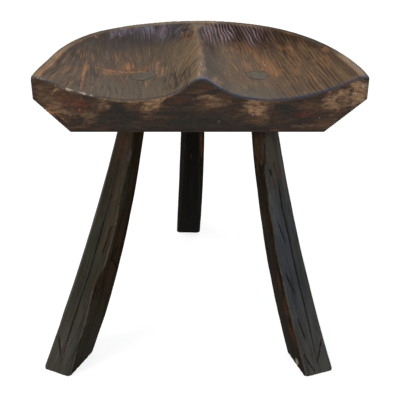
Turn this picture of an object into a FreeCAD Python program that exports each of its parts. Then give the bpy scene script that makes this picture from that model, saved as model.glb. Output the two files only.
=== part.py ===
import FreeCAD, Part
import math
import os

# A rustic three-legged stool: a thick D-shaped plank seat with two dished hollows
# parted by a ridge, and three hewn, bowed legs whose round tenons stand in raked
# sockets. Lengths are in millimetres and angles in degrees.
# X runs across the seat, the straight front edge faces -Y, and Z is up from the floor.

# Seat slab
seat_width = 432.0
seat_depth = 244.0
stool_height = 440.0
seat_thickness = 76.5
side_band_height = 30.0
left_bevel_width = 45.0
right_bevel_width = 52.0
back_bevel_width = 38.0
front_edge_round = 3.5

# Dished hollows
rim_width = 10.0
dish_depth = 32.0
tip_wall_run = 125.0
back_wall_run = 70.0
ridge_front_x = 2.5
ridge_back_x = -7.0
ridge_drop = 1.2
ridge_front_run = 20.0
ridge_back_run = 28.0
ridge_front_round = 20.0
ridge_back_round = 3.0
ridge_land_width = 32.0

# Sockets and tenons
tenon_diameter = 30.8
tenon_clearance = 0.15
rear_socket_depth = 50.0
rear_tenon_end_gap = 2.0

# Leg sections, measured square to the leg's hewn faces
neck_width = 32.0
neck_depth = 34.6
neck_flat_share = 0.29
foot_arris = 4.0
foot_edge_chamfer = 1.2

# Front left leg
left_top_x_share = -0.423
left_top_y_share = 0.299
left_splay = 22.2
left_sight = 46.2
left_bow_x = 8.4
left_bow_y = 0.9
left_turn = -25.5
left_twist = -17.5
left_cant_x = 4.7
left_cant_y = 0.0
left_mid_width = 48.0
left_mid_depth = 43.5
left_foot_width = 46.5
left_foot_depth = 66.0

# Front right leg
right_top_x_share = 0.405
right_top_y_share = 0.309
right_splay = 20.0
right_sight = -36.2
right_bow_x = -8.1
right_bow_y = -2.9
right_turn = 19.9
right_twist = -4.4
right_cant_x = -2.8
right_cant_y = -2.8
right_mid_width = 41.6
right_mid_depth = 54.0
right_foot_width = 46.8
right_foot_depth = 63.8

# Rear leg
rear_top_x_share = -0.044
rear_top_y_share = 0.75
rear_splay = 26.2
rear_sight = 176.1
rear_bow_x = 1.3
rear_bow_y = -8.0
rear_turn = -1.7
rear_twist = 1.3
rear_cant_x = 0.0
rear_cant_y = 0.0
rear_mid_width = 40.7
rear_mid_depth = 46.0
rear_foot_width = 43.5
rear_foot_depth = 56.0

# Outline of the seat, as shares of an ellipse about the middle of the front edge,
# at even angles from the right tip round the back to the left tip
outline_shares = [1.0, 0.982, 0.982, 0.99, 0.998, 0.996, 1.0, 1.004, 1.024, 1.046, 1.022, 0.988, 1.0]

# Heights on a leg, from the seat down to the floor, where its section is drawn
leg_station_shares = [0.0, 0.25, 0.5, 0.75, 1.0]

# Counts of points on the seat's outline and on the carved surface
outline_points = 25
carve_columns = 16
carve_rows = 22

# How steeply the ridge's land narrows from the rim, and how the carved columns crowd the ridge
land_power = 14
crowd_power = 1.5

half_width = seat_width / 2
underside = stool_height - seat_thickness
overrun = seat_thickness / 6


def blend(start, end, share):
    return start + (end - start) * share


def outline_share(turn):
    """Share of the ellipse at an angle in radians, on a smooth curve through outline_shares."""
    last = len(outline_shares) - 1
    place = min(max(turn / math.pi, 0.0), 1.0) * last
    index = min(int(place), last - 1)
    t = place - index
    before = outline_shares[max(index - 1, 0)]
    here = outline_shares[index]
    there = outline_shares[index + 1]
    after = outline_shares[min(index + 2, last)]
    bend = 2 * before - 5 * here + 4 * there - after
    curl = 3 * here - 3 * there + after - before
    return here + 0.5 * t * (there - before + t * (bend + t * curl))


def outline_radius(turn):
    """Distance from the middle of the front edge to the outline, along the angle's ray."""
    share = outline_share(turn)
    return math.hypot(half_width * share * math.cos(turn), seat_depth * share * math.sin(turn))


def outline_wire(height, right_inset, back_inset, left_inset):
    """Closed D, drawn in by the three insets, with its straight side ahead of the front face."""
    points = []
    for index in range(outline_points):
        turn = math.pi * index / (outline_points - 1)
        tip_inset = right_inset if math.cos(turn) > 0 else left_inset
        inset = blend(back_inset, tip_inset, math.cos(turn) ** 2)
        share = outline_share(turn) * (1 - inset / outline_radius(turn))
        x = half_width * share * math.cos(turn)
        y = seat_depth * share * math.sin(turn)
        points.append(FreeCAD.Vector(x, y, height))
    back = Part.BSplineCurve()
    back.interpolate(points)
    ahead = FreeCAD.Vector(0, -overrun, 0)
    sides = Part.makePolygon([points[-1], points[-1] + ahead, points[0] + ahead, points[0]])
    return Part.Wire([back.toShape()] + sides.Edges)


def ridge_x(y):
    return blend(ridge_front_x, ridge_back_x, y / seat_depth)


def carved_height(x, y):
    """Height of the carved surface. Past the rim and over the land it lies above the slab."""
    reach = min(max(y / seat_depth, 0.0), 1.0)
    turn = math.atan2(reach, x / half_width)
    inward = outline_radius(turn) - rim_width - math.hypot(x, reach * seat_depth)
    run = blend(back_wall_run, tip_wall_run, math.cos(turn) ** 2)
    fall = min(inward / run, 1.0)
    wall = fall * (2 - fall) if fall > 0 else 2 * fall

    crest_round = blend(ridge_front_round, ridge_back_round, min(2 * reach, 1.0))
    flank_run = blend(ridge_front_run, ridge_back_run, reach)
    away = math.hypot(x - ridge_x(reach * seat_depth), crest_round) - crest_round
    crest = -flank_run * math.log(1 - ridge_drop / dish_depth)
    land = (ridge_land_width / 2 + crest) * reach ** land_power - crest
    flank = 1 - math.exp((land - away) / flank_run)

    lift = min(wall, flank) if min(wall, flank) < 0 else wall * flank
    return stool_height - dish_depth * lift


def carving_tools():
    """Two solids over the carved surface, one for each hollow, which meet along the ridge.
    They hollow the slab and trim the front tenons."""
    grid = []
    for row in range(carve_rows):
        y = blend(-overrun, seat_depth + overrun, row / (carve_rows - 1))
        line = []
        for column in range(-carve_columns, carve_columns + 1):
            share = column / carve_columns
            edge = math.copysign(half_width + overrun, share)
            x = blend(ridge_x(y), edge, abs(share) ** crowd_power)
            line.append(FreeCAD.Vector(x, y, carved_height(x, y)))
        grid.append(line)
    surface = Part.BSplineSurface()
    surface.interpolate(grid)
    first, last, start, end = surface.bounds()
    ridge = surface.parameter(grid[0][carve_columns])[1]
    lobes = Part.makeShell([surface.toShape(first, last, start, ridge),
                            surface.toShape(first, last, ridge, end)])
    lobes.sewShape()
    return lobes.extrude(FreeCAD.Vector(0, 0, seat_thickness)).Solids


def seat_blank():
    """Slab with an upright side band and a broad bevel under the tips and the back."""
    foot = outline_wire(underside, right_bevel_width, back_bevel_width, left_bevel_width)
    shoulder = outline_wire(stool_height - side_band_height, 0, 0, 0)
    top = outline_wire(stool_height, 0, 0, 0)
    slab = Part.makeLoft([foot, shoulder, top], True, True)
    corner = FreeCAD.Vector(-seat_width, -seat_width, 0)
    return slab.cut(Part.makeBox(2 * seat_width, seat_width, 2 * stool_height, corner))


def leg_axis(leg, share):
    """Point on a leg's bowed centre line. The share is 0 under the seat and 1 on the floor."""
    run = underside * math.tan(math.radians(leg["splay"]))
    sight = math.radians(leg["sight"])
    swell = 4 * share * (1 - share)
    x = leg["top_x"] - run * math.sin(sight) * share + leg["bow_x"] * swell
    y = leg["top_y"] - run * math.cos(sight) * share + leg["bow_y"] * swell
    return FreeCAD.Vector(x, y, underside * (1 - share))


def tenon_direction(leg):
    """Direction of a tenon, pointing up: the centre line's where it enters the seat, canted a little."""
    step = 0.001
    direction = (leg_axis(leg, 0) - leg_axis(leg, step)).normalize()
    cant_x = math.tan(math.radians(leg["cant_x"]))
    cant_y = math.tan(math.radians(leg["cant_y"]))
    return (direction + FreeCAD.Vector(cant_x, cant_y, 0)).normalize()


def through_three(first, middle, last, share):
    """Smooth value through three sizes at the shares 0, one half and 1."""
    start = first * (1 - share) * (1 - 2 * share)
    centre = middle * 4 * share * (1 - share)
    end = last * share * (2 * share - 1)
    return start + centre + end


def leg_section(leg, share):
    """Level section: a rectangle with its four corners hewn off, nearly an even octagon at the neck."""
    width = through_three(neck_width, leg["mid_width"], leg["foot_width"], share)
    depth = through_three(neck_depth, leg["mid_depth"], leg["foot_depth"], share)
    corner = blend(neck_flat_share * min(width, depth), foot_arris, share)
    turn = FreeCAD.Rotation(FreeCAD.Vector(0, 0, 1), leg["turn"] + leg["twist"] * (1 - share))
    centre = leg_axis(leg, share)
    points = []
    for side, front, along in [(-1, -1, 1), (-1, -1, 0), (-1, 1, 0), (-1, 1, 1),
                               (1, 1, 1), (1, 1, 0), (1, -1, 0), (1, -1, 1)]:
        x = side * (width / 2 - corner * along)
        y = front * (depth / 2 - corner * (1 - along))
        points.append(centre + turn.multVec(FreeCAD.Vector(x, y, 0)))
    return Part.makePolygon(points + [points[0]])


def leg_peg(leg, radius, below, above):
    """Round bar on the line of the tenon, from below the seat's underside to above it."""
    direction = tenon_direction(leg)
    start = leg_axis(leg, 0) - direction * below
    return Part.makeCylinder(radius, below + above, start, direction)


def leg_solid(leg, carving):
    """Bowed leg and its tenon, in one piece. A through tenon is trimmed level with the hollow."""
    shaft = Part.makeLoft([leg_section(leg, share) for share in leg_station_shares], True, False)
    sole = min(shaft.Faces, key=lambda face: face.CenterOfMass.z)
    shaft = shaft.makeChamfer(foot_edge_chamfer, sole.Edges)
    rise = seat_thickness + overrun
    if leg["blind"]:
        rise = rear_socket_depth - rear_tenon_end_gap
    tenon = leg_peg(leg, tenon_diameter / 2, overrun, rise)
    solid = shaft.fuse(tenon).removeSplitter()
    if leg["blind"]:
        return solid
    return solid.cut(carving)


def socket_solid(leg):
    """Space that a socket takes out of the seat."""
    rise = rear_socket_depth if leg["blind"] else seat_thickness + overrun
    return leg_peg(leg, tenon_diameter / 2 + tenon_clearance, overrun, rise)


def seat_solid(legs, carving):
    """Slab with its hollows carved, its front face's upper edges worn round and its sockets bored."""
    seat = seat_blank().cut(carving)
    front = min(seat.Faces, key=lambda face: face.CenterOfMass.y)
    shoulder = stool_height - side_band_height
    upper = [edge for edge in front.Edges
             if edge.CenterOfMass.z > shoulder and edge.BoundBox.XLength > rim_width / 2]
    seat = seat.makeFillet(front_edge_round, upper)
    for leg in legs:
        seat = seat.cut(socket_solid(leg))
    return seat


legs = [
    {"name": "leg_front_left", "blind": False,
     "top_x": left_top_x_share * half_width, "top_y": left_top_y_share * seat_depth,
     "splay": left_splay, "sight": left_sight, "bow_x": left_bow_x, "bow_y": left_bow_y,
     "turn": left_turn, "twist": left_twist, "cant_x": left_cant_x, "cant_y": left_cant_y,
     "mid_width": left_mid_width, "mid_depth": left_mid_depth,
     "foot_width": left_foot_width, "foot_depth": left_foot_depth},
    {"name": "leg_front_right", "blind": False,
     "top_x": right_top_x_share * half_width, "top_y": right_top_y_share * seat_depth,
     "splay": right_splay, "sight": right_sight, "bow_x": right_bow_x, "bow_y": right_bow_y,
     "turn": right_turn, "twist": right_twist, "cant_x": right_cant_x, "cant_y": right_cant_y,
     "mid_width": right_mid_width, "mid_depth": right_mid_depth,
     "foot_width": right_foot_width, "foot_depth": right_foot_depth},
    {"name": "leg_rear", "blind": True,
     "top_x": rear_top_x_share * half_width, "top_y": rear_top_y_share * seat_depth,
     "splay": rear_splay, "sight": rear_sight, "bow_x": rear_bow_x, "bow_y": rear_bow_y,
     "turn": rear_turn, "twist": rear_twist, "cant_x": rear_cant_x, "cant_y": rear_cant_y,
     "mid_width": rear_mid_width, "mid_depth": rear_mid_depth,
     "foot_width": rear_foot_width, "foot_depth": rear_foot_depth},
]

carving = carving_tools()
solids = {"seat": seat_solid(legs, carving)}
for leg in legs:
    solids[leg["name"]] = leg_solid(leg, carving)

# The origin is on the floor, under the middle of the whole stool
box = Part.makeCompound(list(solids.values())).optimalBoundingBox(False, False)
shift = FreeCAD.Vector(-box.Center.x, -box.Center.y, 0)

os.makedirs("parts", exist_ok=True)
for name, solid in solids.items():
    solid.translate(shift)
    solid.exportStep("parts/" + name + ".step")
    print(name, "volume", round(solid.Volume), "faces", len(solid.Faces), "valid", solid.isValid())
print("shift", round(shift.x, 3), round(shift.y, 3), "box", box)
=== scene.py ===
import bpy
import math
import numpy as np
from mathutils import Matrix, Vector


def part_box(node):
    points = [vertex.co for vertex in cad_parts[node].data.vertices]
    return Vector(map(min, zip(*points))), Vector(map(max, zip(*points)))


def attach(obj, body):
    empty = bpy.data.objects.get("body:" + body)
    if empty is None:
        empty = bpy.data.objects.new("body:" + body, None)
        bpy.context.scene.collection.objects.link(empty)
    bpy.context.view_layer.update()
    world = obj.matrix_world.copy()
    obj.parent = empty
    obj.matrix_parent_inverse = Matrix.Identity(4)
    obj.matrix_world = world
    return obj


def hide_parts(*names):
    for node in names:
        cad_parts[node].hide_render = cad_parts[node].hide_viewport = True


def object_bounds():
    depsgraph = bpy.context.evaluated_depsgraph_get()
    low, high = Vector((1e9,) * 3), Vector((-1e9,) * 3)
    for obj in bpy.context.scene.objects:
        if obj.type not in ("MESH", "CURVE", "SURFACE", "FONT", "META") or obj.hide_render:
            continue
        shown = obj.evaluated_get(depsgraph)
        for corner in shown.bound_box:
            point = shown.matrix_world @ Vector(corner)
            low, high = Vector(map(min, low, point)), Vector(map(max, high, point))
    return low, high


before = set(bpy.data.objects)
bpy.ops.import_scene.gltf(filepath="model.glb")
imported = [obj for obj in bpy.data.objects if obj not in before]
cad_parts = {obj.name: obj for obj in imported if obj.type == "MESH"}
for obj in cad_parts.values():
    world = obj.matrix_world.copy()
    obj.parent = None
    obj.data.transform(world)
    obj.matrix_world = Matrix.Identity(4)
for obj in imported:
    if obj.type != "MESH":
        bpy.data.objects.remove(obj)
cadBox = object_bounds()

from types import SimpleNamespace

print("stage: frame loaded")

mm = 0.001

# The camera, fitted to the picture: distances from the middle of the seat's front edge, and the floor
shot = {
    "lens": 72.0,
    "sensor": 36.0,
    "pictureSide": 400,
    "pitch": math.radians(29.5),
    "back": 962.7 * mm,
    "height": 805.3 * mm,
}

seatLow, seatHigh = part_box("seat")
seatMiddle = (seatLow.x + seatHigh.x) / 2
seatFront = seatLow.y
seatDeep = (seatHigh.y - seatLow.y) / mm
seatTop = seatHigh.z / mm
seatBottom = seatLow.z / mm
eye = np.array([seatMiddle, seatFront - shot["back"], shot["height"]])


def turned(x, y, angle):
    # x and y as measured in a frame turned by an angle
    return x * np.cos(angle) + y * np.sin(angle), y * np.cos(angle) - x * np.sin(angle)


def pixelOf(points):
    # where points in metres fall in the 400 x 400 picture
    focal = shot["lens"] / shot["sensor"] * shot["pictureSide"]
    aside, away, up = (points - eye).T
    rise, depth = turned(up, away, shot["pitch"])
    middle = shot["pictureSide"] / 2
    return np.stack([middle + focal * aside / depth, middle - focal * rise / depth], 1)


# Colours are written as 0..255 screen values and turned into light here
def ink(red, green, blue):
    screen = np.array([red, green, blue]) / 255
    return np.where(screen <= 0.04045, screen / 12.92, ((screen + 0.055) / 1.055) ** 2.4)


def unit(values):
    # values held between 0 and 1
    return np.clip(values, 0, 1)


def ease(values, low, high):
    t = unit((values - low) / (high - low))
    return t * t * (3 - 2 * t)


def between(values, start, full, fading, end):
    # 1 from full to fading, easing from 0 at start and back to 0 at end
    return ease(values, start, full) * (1 - ease(values, fading, end))


# Large odd numbers that stir the cells of the noise
cellPrimes = (73856093, 19349663, 83492791)
seedPrime = 7919
stirrer = np.uint64(0xBF58476D1CE4E5B9)
lastBits = np.uint64(0xFFFFFF)


def scatter(cells, seed):
    # an even random number from 0 to 1 for each whole-number cell
    mixed = np.full(cells.shape[0], seed * seedPrime + 17, np.uint64)
    for column, prime in zip(cells.T, cellPrimes):
        mixed = mixed ^ (column.astype(np.int64).astype(np.uint64) * np.uint64(prime))
        mixed = (mixed ^ (mixed >> np.uint64(29))) * stirrer
        mixed = mixed ^ (mixed >> np.uint64(32))
    return (mixed & lastBits).astype(float) / float(lastBits)


def noise(seed, *places):
    # smooth noise from -1 to 1 over one to three coordinates
    points = np.stack(places, 1)
    cell = np.floor(points)
    part = points - cell
    part = part * part * (3 - 2 * part)
    total = np.zeros(points.shape[0])
    for corner in range(2 ** points.shape[1]):
        step = np.array([(corner >> axis) & 1 for axis in range(points.shape[1])])
        weight = np.prod(np.where(step, part, 1 - part), axis=1)
        total += weight * scatter(cell + step, seed)
    return 2 * total - 1


def roughNoise(seed, *places, layers=3):
    total = np.zeros(places[0].shape[0])
    for layer in range(layers):
        total += noise(seed + layer, *[place * 2 ** layer for place in places]) / 2 ** layer
    return total / (2 - 2 ** (1 - layers))


def toolCuts(across, along, width, length, seed):
    # side-by-side cuts. Beds: 1 in the middle of a cut. Slits: 1 on the narrow lines between cuts
    lane = np.floor(across / width)
    side = np.abs(2 * (across / width - lane) - 1)
    start = scatter(np.stack([lane], 1), seed)
    place = along / length + start
    cut = np.floor(place)
    luck = scatter(np.stack([lane, cut], 1), seed + 5)
    run = np.sin(np.pi * (place - cut)) ** 0.6
    beds = (1 - side ** 2) * (0.3 + 0.7 * run) * (0.45 + 0.55 * luck)
    border = np.floor(across / width + 0.5)
    fade = noise(seed + 9, along / length * 2.3 + 17 * border, border * 0.77)
    slits = side ** 2.4 * unit(0.6 + 0.75 * fade)
    return beds, slits, luck


def nearPath(pixels, path, width, seed, ragged):
    # 1 on a path drawn in picture pixels, falling to 0 at its width, which tapers to the ends
    best = np.zeros(pixels.shape[0])
    spans = [math.dist(a, b) for a, b in zip(path, path[1:])]
    whole = sum(spans)
    gone = 0.0
    wander = noise(seed, pixels[:, 0] / 4.0, pixels[:, 1] / 4.0) * ragged
    for a, b, span in zip(path, path[1:], spans):
        way = np.subtract(b, a) / span
        gap = pixels - a
        along = np.clip(gap @ way, 0, span)
        away = np.hypot(*(gap - along[:, None] * way).T)
        share = (gone + along) / whole
        taper = np.clip(np.minimum(share, 1 - share) * 5, 0.35, 1)
        best = np.maximum(best, 1 - (away + wander) / (width * taper))
        gone += span
    return unit(best * 1.5)


def nearSpot(pixels, spot, seed, ragged, streak):
    # 1 in an oval patch with a ragged edge: x, y, half width, half height, and degrees of lean if any
    x, y, wide, high, lean = (*spot, 0)[:5]
    along, over = turned(*(pixels - (x, y)).T, math.radians(lean))
    rags = roughNoise(seed, along / streak[0] + x, over / streak[1] + y)
    return ease(1 - np.hypot(along / wide, over / high) + ragged * rags, 0.0, 0.5)


class Coat:
    # the colour on a piece's points, stain with some painted light and shade, built up from its ground ink by
    # laying other inks over it
    def __init__(self, inks, ground, size):
        self.inks = inks
        self.colour = np.tile(inks[ground], (size, 1))

    def lay(self, name, amount):
        amount = unit(amount)[:, None]
        self.colour = self.colour * (1 - amount) + self.inks[name] * amount

    def cover(self, other, share):
        share = share[:, None]
        self.colour = self.colour * (1 - share) + other.colour * share

    def laySpots(self, at, spots, seed, ragged, streak, share):
        for name, strength, *spot in spots:
            self.lay(name, nearSpot(at.pixels, spot, seed, ragged, streak) * strength * share)

    def layStreaks(self, at, streaks, seed, ragged, share):
        for name, strength, width, path in streaks:
            self.lay(name, nearPath(at.pixels, path, width, seed, ragged) * strength * share)


def readVectors(mesh, what):
    flat = np.empty(len(mesh.vertices) * 3, np.float32)
    mesh.vertices.foreach_get(what, flat)
    return flat.reshape(-1, 3).astype(float)


def addObject(name, data):
    made = bpy.data.objects.new(name, data)
    bpy.context.scene.collection.objects.link(made)
    return made


def movePoints(mesh, points):
    mesh.vertices.foreach_set("co", points.astype(np.float32).ravel())
    mesh.update()


def settle(piece):
    # turn the piece's modifiers into its mesh
    before = piece.data
    ready = piece.evaluated_get(bpy.context.evaluated_depsgraph_get())
    piece.data = bpy.data.meshes.new_from_object(ready)
    piece.modifiers.clear()
    bpy.data.meshes.remove(before)


def finePiece(name, node, look):
    # an even fine mesh of a CAD node, with its squares drawn out along the wood's tool cuts
    stretch = np.array(look["stretch"])
    piece = addObject(name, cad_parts[node].data.copy())
    piece.data.materials.clear()
    movePoints(piece.data, readVectors(piece.data, "co") / stretch)
    remesh = piece.modifiers.new("even", "REMESH")
    remesh.mode = "VOXEL"
    remesh.voxel_size = look["grid"]
    remesh.use_smooth_shade = True
    settle(piece)
    movePoints(piece.data, readVectors(piece.data, "co") * stretch)
    fit = piece.modifiers.new("fit", "SHRINKWRAP")
    fit.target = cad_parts[node]
    fit.wrap_method = "NEAREST_SURFACEPOINT"
    settle(piece)
    piece.data.name = name
    print("stage:", name, len(piece.data.vertices), "points")
    return piece


def readPiece(piece):
    points = readVectors(piece.data, "co")
    normals = readVectors(piece.data, "normal")
    return SimpleNamespace(points=points, normals=normals, pixels=pixelOf(points), z=points[:, 2] / mm)


def carve(piece, at, inward):
    # push the skin in along its normals by millimetres, and keep it inside the whole stool's box
    points = at.points - at.normals * (inward * mm)[:, None]
    movePoints(piece.data, np.clip(points, *np.array(cadBox)))


def keepColour(piece, name, colours, alpha=1.0):
    layer = piece.data.attributes.new(name, "FLOAT_COLOR", "POINT")
    full = np.ones((len(piece.data.vertices), 4), np.float32)
    full[:, :3] = colours
    full[:, 3] = alpha
    layer.data.foreach_set("color", full.ravel())


def keepVector(piece, name, vectors):
    layer = piece.data.attributes.new(name, "FLOAT_VECTOR", "POINT")
    layer.data.foreach_set("vector", vectors.astype(np.float32).ravel())


def fillSockets(tree, node, sockets):
    # give each named socket its value, or join it to another node's output
    for name, value in sockets.items():
        if isinstance(value, bpy.types.NodeSocket):
            tree.links.new(value, node.inputs[name])
        else:
            node.inputs[name].default_value = value


def addNode(tree, kind, sockets, **settings):
    # add a shader node, and give back its outputs
    node = tree.nodes.new("ShaderNode" + kind)
    for name, value in settings.items():
        setattr(node, name, value)
    fillSockets(tree, node, sockets)
    return node.outputs


# Where each noise of the wood turns from low to high
noiseTurns = {"fibre": (0.3, 0.7), "speck": (0.35, 0.65), "lines": (0.52, 0.62), "scratches": (0.55, 0.63)}


# Wood finish shared by the seat and the legs. The mesh's own layers carry its colour, stain with some painted
# light and shade (with the sheen in its alpha), the place along the grain, and the amounts of scratches,
# polish and dark lines
def woodFinish(name, look):
    material = bpy.data.materials.new(name)
    material.use_nodes = True
    tree = material.node_tree

    def grainNoise(scale, detail, roughness):
        # noise laid along the grain: scale is (across, along, third way) in marks per millimetre
        spread = addNode(tree, "VectorMath", {0: grain, 1: scale}, operation="MULTIPLY")["Vector"]
        sockets = {"Vector": spread, "Scale": 1.0, "Detail": detail, "Roughness": roughness}
        return addNode(tree, "TexNoise", sockets)["Fac"]

    def remap(value, turn, low, high):
        sockets = {"Value": value, "From Min": turn[0], "From Max": turn[1], "To Min": low, "To Max": high}
        return addNode(tree, "MapRange", sockets)["Result"]

    def sums(operation, first, second, clamp=False):
        return addNode(tree, "Math", {0: first, 1: second}, operation=operation, use_clamp=clamp)[0]

    def scaled(colour, amount):
        return addNode(tree, "VectorMath", {0: colour, "Scale": amount}, operation="SCALE")["Vector"]

    stainAndPaintedLight = addNode(tree, "Attribute", {}, attribute_name="stainAndPaintedLight")
    grain = addNode(tree, "Attribute", {}, attribute_name="grain")["Vector"]
    marks = addNode(tree, "Attribute", {}, attribute_name="marks")["Color"]
    marks = addNode(tree, "SeparateColor", {"Color": marks})
    fibre = grainNoise(look["fibreScale"], 5.0, 0.62)
    broad = grainNoise(look["broadScale"], 3.0, 0.55)
    lines = grainNoise(look["lineScale"], 2.0, 0.5)
    scratches = grainNoise(look["scratchScale"], 2.0, 0.6)
    place = addNode(tree, "TexCoord", {})["Object"]
    sockets = {"Vector": place, "Scale": look["speckScale"], "Detail": 2.0}
    speck = addNode(tree, "TexNoise", sockets)["Fac"]

    turns = noiseTurns
    shade = scaled(stainAndPaintedLight["Color"], remap(fibre, turns["fibre"], *look["fibreContrast"]))
    shade = scaled(shade, remap(broad, turns["fibre"], *look["broadContrast"]))
    shade = scaled(shade, remap(speck, turns["speck"], *look["speckContrast"]))
    lined = sums("MULTIPLY", remap(lines, turns["lines"], 0.0, look["lineDarkness"]), marks["Blue"])
    shade = scaled(shade, sums("SUBTRACT", 1.0, lined))
    scratched = sums("MULTIPLY", remap(scratches, turns["scratches"], 0.0, 1.0), marks["Red"])
    sockets = {"Factor": scratched, "A": shade, "B": (*look["scratchInk"], 1.0)}
    paint = addNode(tree, "Mix", sockets, data_type="RGBA")["Result"]

    rough = remap(fibre, turns["fibre"], look["roughness"] - 0.08, look["roughness"] + 0.1)
    height = sums("ADD", fibre, sums("MULTIPLY", speck, 0.3))
    sockets = {"Strength": look["bumpStrength"], "Distance": look["bumpDepth"], "Height": height}
    fillSockets(tree, tree.nodes["Principled BSDF"], {
        "Base Color": paint,
        "Specular IOR Level": sums("MULTIPLY", stainAndPaintedLight["Alpha"], look["shine"]),
        "Roughness": sums("SUBTRACT", rough, sums("MULTIPLY", marks["Green"], 0.25), True),
        "Normal": addNode(tree, "Bump", sockets)["Normal"],
    })
    return material


# The seat: a plank with two dished hollows, gouged on top, sawn in front, adzed below
seatLook = {
    "grid": 1.12 * mm,
    "stretch": (0.75, 2.1, 1.0),
    # tool cuts: width across, length along, seed
    "rightWallCuts": (5.0, 20.0, 11),
    "leftWallCuts": (3.3, 26.0, 17),
    "tipCuts": (5.6, 40.0, 23),
    "flankCuts": (5.6, 18.0, 29),
    "adzeCuts": (17.0, 34.0, 41),
    "sideAdzeCuts": (12.0, 26.0, 47),
    # depths in millimetres
    "rightWallDepth": 1.25,
    "leftWallDepth": 0.5,
    "tipDepth": 1.1,
    "flankDepth": 1.0,
    "adzeDepth": 0.8,
    "sideAdzeDepth": 0.5,
    "sawDepth": 0.16,
    "swellDepth": 0.3,
    "chipDepth": 0.5,
    "wornEdgeDepth": 0.3,
}
# Where each part of the seat starts and is full, then where it fades and ends if it does. Places are
# millimetres from the middle of the front edge, or in from the outline for the two lines on the rim
seatZones = {
    "facesUp": (0.3, 0.62),
    "facesFront": (0.6, 0.85),
    "facesDown": (0.25, 0.6),
    "frontSkin": (-3.0, -1.0),
    "land": (-1.5, -0.4),
    "steep": (0.015, 0.12),
    "backShare": (0.45, 0.8),
    "looseShare": (0.6, 0.85),
    "bloomShare": (0.68, 0.84),
    "right": (-4, 4),
    "rightTip": (78, 128),
    "leftTip": (120, 160),
    "flank": (-60, -34, -8, 2),
    "flankBack": (90, 150),
    "behind": (4, 40),
    "warmLine": (7.5, 9.0, 10.0, 12.5),
    "darkLine": (11.0, 13.0, 15.0, 24.0),
    "farRight": (88, 120),
}
outlineReach = 190.0  # mm from the middle to the outline, to turn angles into lengths
outlineSteps = 90  # places round the outline at which its reach is measured
# How far the tool cuts lean aside on the way down the picture: places across it, then leans
leftFan = ((30, 50, 62, 75, 90, 110, 140, 155, 168, 180, 192, 206),
           (-0.95, -0.8, -0.6, -0.35, -0.12, 0.08, 0.1, 0.0, -0.3, -0.6, -0.8, -0.9))
rightFan = ((195, 215, 240, 262, 285, 310, 330, 350, 370),
            (0.25, 0.35, 0.42, 0.5, 0.6, 0.72, 0.8, 0.85, 0.85))
fanMiddle = 50.0  # the row of the picture that the leaning cuts turn about
pixelWidth = 1.35  # millimetres of the seat that one pixel shows

seatInks = {
    "leftDish": ink(75, 63, 50),
    "leftFront": ink(84, 72, 58),
    "leftWall": ink(60, 51, 46),
    "leftFlank": ink(102, 83, 60),
    "rightDish": ink(84, 66, 48),
    "rightGrey": ink(78, 68, 56),
    "rightWall": ink(60, 41, 32),
    "rightTip": ink(82, 62, 42),
    "rim": ink(104, 90, 68),
    "rimOuter": ink(60, 50, 34),
    "rimShade": ink(40, 28, 14),
    "bed": ink(36, 28, 24),
    "slit": ink(34, 26, 18),
    "crest": ink(128, 96, 60),
    # the next ink, and the plum ink two lines down, are a painted reflection on the crests of the back wall;
    # the first is also a painted highlight on the nose of the front edge
    "bloom": ink(112, 106, 118),
    "navy": ink(32, 34, 46),
    "plumReflection": ink(138, 119, 125),
    "front": ink(52, 40, 32),
    "black": ink(36, 35, 31),
    "tan": ink(142, 112, 84),
    "red": ink(92, 46, 36),
    "brown": ink(90, 66, 48),
    # the next ink is a painted blue-grey reflection on the seat's rounded front edge
    "slate": ink(44, 52, 65),
    "pale": ink(178, 168, 156),
    "orange": ink(144, 98, 58),
    "under": ink(44, 34, 28),
}

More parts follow.
